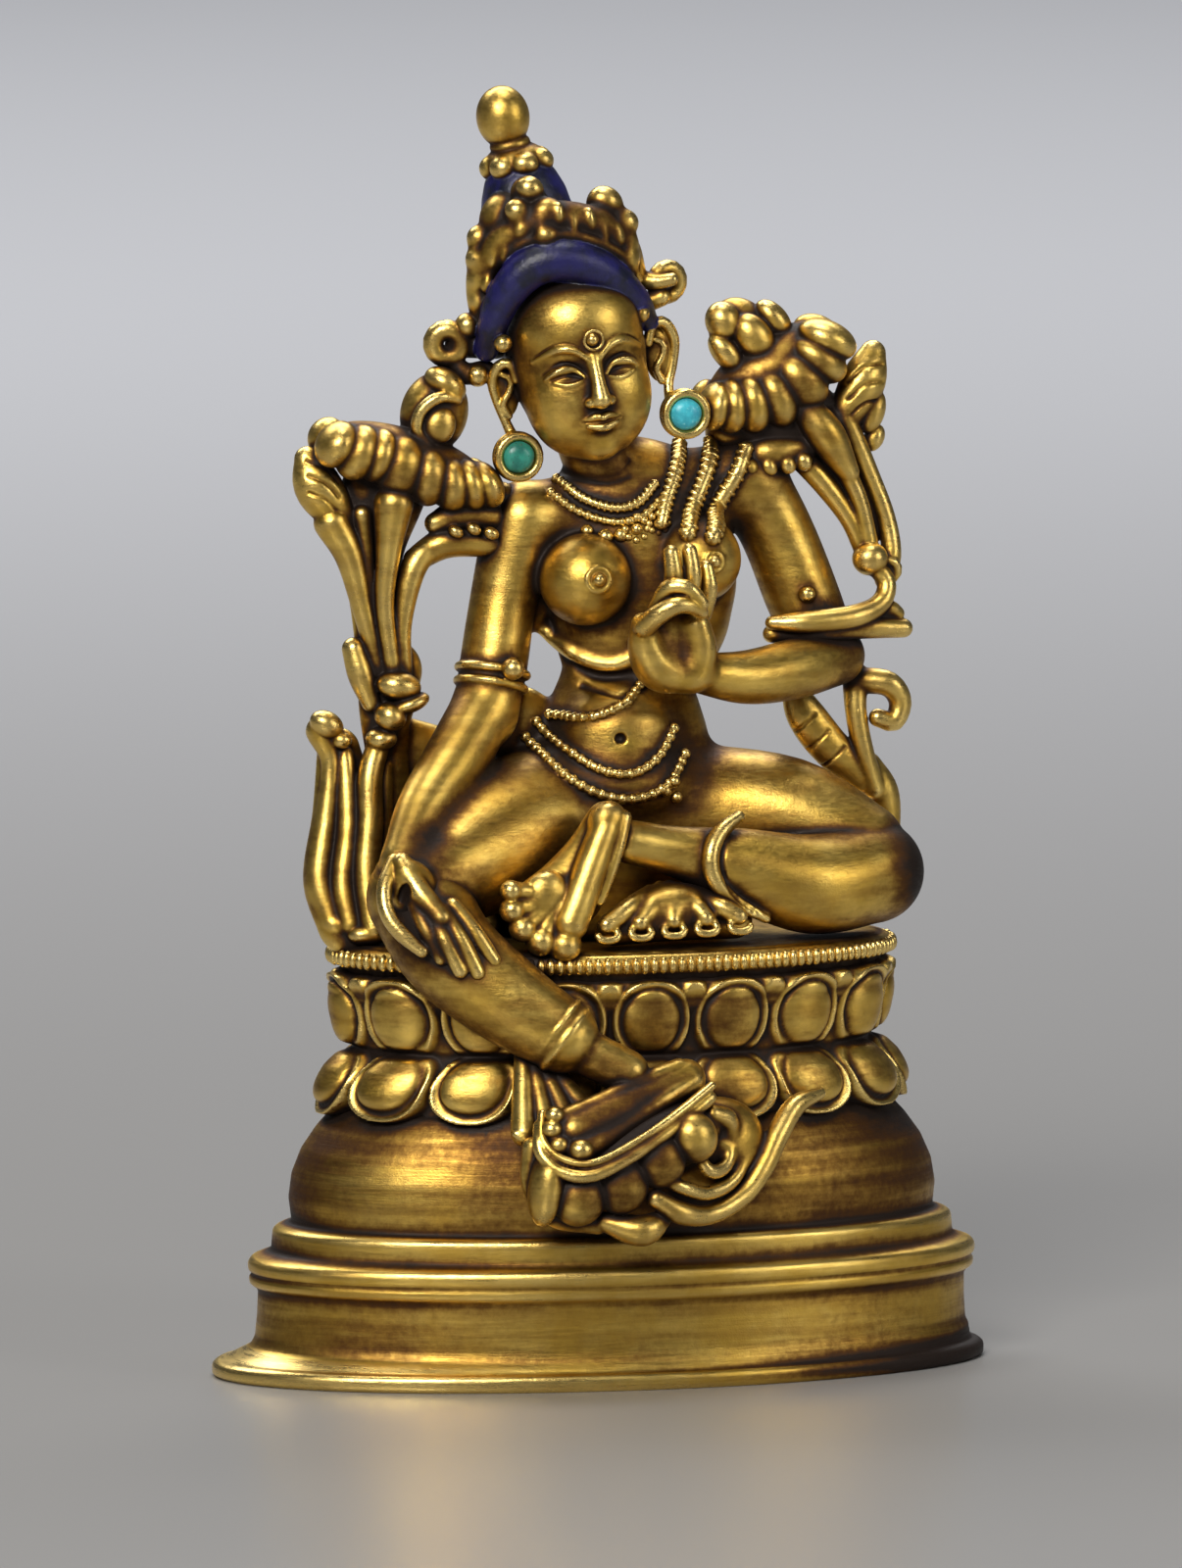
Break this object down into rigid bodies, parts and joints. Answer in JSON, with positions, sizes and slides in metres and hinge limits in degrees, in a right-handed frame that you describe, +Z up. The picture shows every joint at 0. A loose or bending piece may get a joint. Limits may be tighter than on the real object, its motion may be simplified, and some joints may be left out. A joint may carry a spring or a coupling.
{
  "type": "tara figure",
  "caption": "Small gilt seated deity cast with its lotus throne and stepped oval plinth, one leg hanging to a lotus, with two stones in its ear ornaments.",
  "frame": {"origin": "bottom centre of the oval flange, on the plane that the figure stands on", "axes": "+Z up, -Y towards the viewer that the figure faces, +X to that viewer's right, which is the figure's left"},
  "size_m": [0.0654, 0.0361, 0.1059],
  "materials": {
    "gilt_metal": "worn gilding over a cast copper alloy, brushed and rubbed bright on the high places, dark brown in the recesses",
    "dark_turquoise": "polished, greenish, with dark veins",
    "bright_turquoise": "polished, blue-green"
  },
  "bodies": {
    "root": {"tara_figure": "gilt_metal", "turquoise_right_ear": "dark_turquoise", "turquoise_left_ear": "bright_turquoise"}
  },
  "joints": []
}
